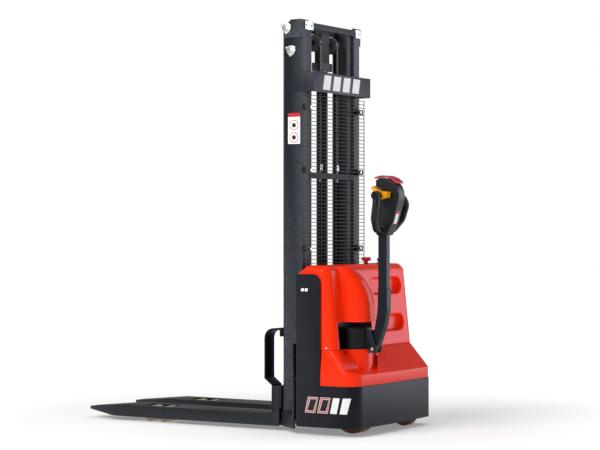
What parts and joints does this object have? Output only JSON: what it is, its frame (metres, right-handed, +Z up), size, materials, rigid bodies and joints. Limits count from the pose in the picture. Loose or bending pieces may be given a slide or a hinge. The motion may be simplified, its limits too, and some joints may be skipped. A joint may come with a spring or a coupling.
{
  "type": "walkie stacker",
  "caption": "Pedestrian pallet stacker with fork-over legs, two-stage chain mast, steered tiller drive, castor and moulded hood.",
  "frame": {"origin": "on the floor, under the middle of the outline in X and Y", "axes": "+X toward the tiller and operator, forks point to -X, +Y toward the castor side, +Z up"},
  "size_m": [1.81, 0.8, 1.984],
  "materials": {
    "dark_steel": "satin",
    "mast_steel": "satin",
    "red_cover": "gloss",
    "zinc": "satin",
    "bright_steel": "polished",
    "black_plastic": "matte",
    "head_plastic": "matte",
    "yellow_plastic": "satin",
    "red_plastic": "satin",
    "tyre_brown": "satin",
    "wheel_nylon": "satin",
    "cast_grey": "matte",
    "brass_key": "satin",
    "wire_black": "satin"
  },
  "bodies": {
    "chassis": {"chassis_base": "dark_steel", "side_panel_left": "dark_steel", "side_panel_right": "dark_steel", "rear_skirt": "dark_steel", "support_leg_left": "dark_steel", "support_leg_right": "dark_steel", "outer_mast_left": "mast_steel", "outer_mast_right": "mast_steel", "outer_mast_ties": "mast_steel", "roller_covers": "zinc", "angle_stops": "zinc", "mast_fasteners": "zinc", "name_plate": "mast_steel", "mesh_guard": "wire_black", "mesh_clamps": "black_plastic", "upper_hood": "red_cover", "lower_hood": "red_cover", "stop_switch_base": "black_plastic", "instrument_panel": "black_plastic", "lift_cylinder": "mast_steel", "chain_anchors": "bright_steel", "battery": "black_plastic", "power_unit": "cast_grey", "controller": "black_plastic", "drive_mount_ring": "bright_steel", "mast_rollers": "bright_steel", "rear_chains": "bright_steel"},
    "inner_mast": {"inner_mast": "mast_steel", "inner_mast_rollers": "bright_steel", "lift_rod": "bright_steel", "crosshead": "mast_steel", "chain_bends": "bright_steel", "front_chains": "bright_steel"},
    "sheaves": {"chain_sheaves": "cast_grey"},
    "carriage": {"carriage_frame": "mast_steel", "carriage_rollers": "bright_steel", "fork_left": "dark_steel", "fork_right": "dark_steel", "load_guard_bars": "mast_steel"},
    "bogie_left": {"load_bogie_left": "cast_grey"},
    "bogie_right": {"load_bogie_right": "cast_grey"},
    "wheel_left_front": {"load_wheel_left_front": "wheel_nylon"},
    "wheel_left_rear": {"load_wheel_left_rear": "wheel_nylon"},
    "wheel_right_front": {"load_wheel_right_front": "wheel_nylon"},
    "wheel_right_rear": {"load_wheel_right_rear": "wheel_nylon"},
    "castor_swivel": {"castor_fork": "cast_grey"},
    "castor_wheel": {"castor_wheel": "tyre_brown"},
    "drive": {"drive_unit": "cast_grey", "drum_cover": "black_plastic", "tiller_bracket": "cast_grey"},
    "drive_wheel": {"drive_wheel": "tyre_brown"},
    "tiller": {"tiller_arm": "mast_steel", "tiller_head": "head_plastic"},
    "throttle": {"throttle": "yellow_plastic"},
    "belly_button": {"belly_button": "red_plastic"},
    "horn_button": {"horn_button": "black_plastic"},
    "lift_rocker": {"lift_rocker": "black_plastic"},
    "stop_button": {"stop_button": "red_plastic"},
    "key": {"key": "brass_key"}
  },
  "joints": [
    {"name": "inner_mast_lift", "type": "slide", "parent": "chassis", "child": "inner_mast", "axis": [0, 0, 1], "range_m": [0, 1.4], "deforming": ["rear_chains"]},
    {"name": "carriage_lift", "type": "slide", "parent": "inner_mast", "child": "carriage", "axis": [0, 0, 1], "range_m": [0, 1.4], "deforming": ["front_chains"]},
    {"name": "sheave_turn", "type": "hinge", "parent": "inner_mast", "child": "sheaves", "pos_m": [0.361, 0, 1.886], "axis": [0, 1, 0], "range_deg": [0, 2160.5]},
    {"name": "bogie_left_rock", "type": "hinge", "parent": "chassis", "child": "bogie_left", "pos_m": [-0.466, -0.2, 0.039], "axis": [0, 1, 0], "range_deg": [-4, 4]},
    {"name": "wheel_left_front_spin", "type": "hinge", "parent": "bogie_left", "child": "wheel_left_front", "pos_m": [-0.509, -0.2, 0.039], "axis": [0, 1, 0], "continuous": true},
    {"name": "wheel_left_rear_spin", "type": "hinge", "parent": "bogie_left", "child": "wheel_left_rear", "pos_m": [-0.423, -0.2, 0.039], "axis": [0, 1, 0], "continuous": true},
    {"name": "bogie_right_rock", "type": "hinge", "parent": "chassis", "child": "bogie_right", "pos_m": [-0.466, 0.2, 0.039], "axis": [0, 1, 0], "range_deg": [-4, 4]},
    {"name": "wheel_right_front_spin", "type": "hinge", "parent": "bogie_right", "child": "wheel_right_front", "pos_m": [-0.509, 0.2, 0.039], "axis": [0, 1, 0], "continuous": true},
    {"name": "wheel_right_rear_spin", "type": "hinge", "parent": "bogie_right", "child": "wheel_right_rear", "pos_m": [-0.423, 0.2, 0.039], "axis": [0, 1, 0], "continuous": true},
    {"name": "castor_swivel", "type": "hinge", "parent": "chassis", "child": "castor_swivel", "pos_m": [0.651, 0.25, 0.16], "axis": [0, 0, 1], "continuous": true},
    {"name": "castor_spin", "type": "hinge", "parent": "castor_swivel", "child": "castor_wheel", "pos_m": [0.691, 0.25, 0.062], "axis": [0, 1, 0], "continuous": true},
    {"name": "steering", "type": "hinge", "parent": "chassis", "child": "drive", "pos_m": [0.651, -0.18, 0.262], "axis": [0, 0, 1], "range_deg": [-70, 70]},
    {"name": "drive_wheel_spin", "type": "hinge", "parent": "drive", "child": "drive_wheel", "pos_m": [0.651, -0.18, 0.105], "axis": [0, 1, 0], "continuous": true},
    {"name": "tiller_tilt", "type": "hinge", "parent": "drive", "child": "tiller", "pos_m": [0.76, -0.18, 0.405], "axis": [0, 1, 0], "range_deg": [0, 68], "stiffness_Nm_per_rad": 30, "springref_deg": -68.75},
    {"name": "throttle_turn", "type": "hinge", "parent": "tiller", "child": "throttle", "pos_m": [0.821, -0.18, 1.132], "axis": [0, 1, 0], "range_deg": [-20, 20], "stiffness_Nm_per_rad": 1.5},
    {"name": "belly_button_push", "type": "slide", "parent": "tiller", "child": "belly_button", "axis": [-0.2079, 0, -0.9781], "range_m": [0, 0.005], "stiffness_N_per_m": 800},
    {"name": "horn_push", "type": "slide", "parent": "tiller", "child": "horn_button", "axis": [1, 0, 0], "range_m": [0, 0.0015], "stiffness_N_per_m": 600},
    {"name": "lift_rocker_tip", "type": "hinge", "parent": "tiller", "child": "lift_rocker", "pos_m": [0.783, -0.18, 1.098], "axis": [0, 1, 0], "range_deg": [-6, 6], "stiffness_Nm_per_rad": 0.5},
    {"name": "stop_push", "type": "slide", "parent": "chassis", "child": "stop_button", "axis": [0, 0, -1], "range_m": [0, 0.006]},
    {"name": "key_turn", "type": "hinge", "parent": "chassis", "child": "key", "pos_m": [0.521, 0.294, 0.803], "axis": [0, 0, 1], "range_deg": [-60, 0]}
  ],
  "couplings": [
    {"joint": "carriage_lift", "follows": "inner_mast_lift", "ratio": 1},
    {"joint": "sheave_turn", "follows": "inner_mast_lift", "rad_per_m": 26.81}
  ]
}
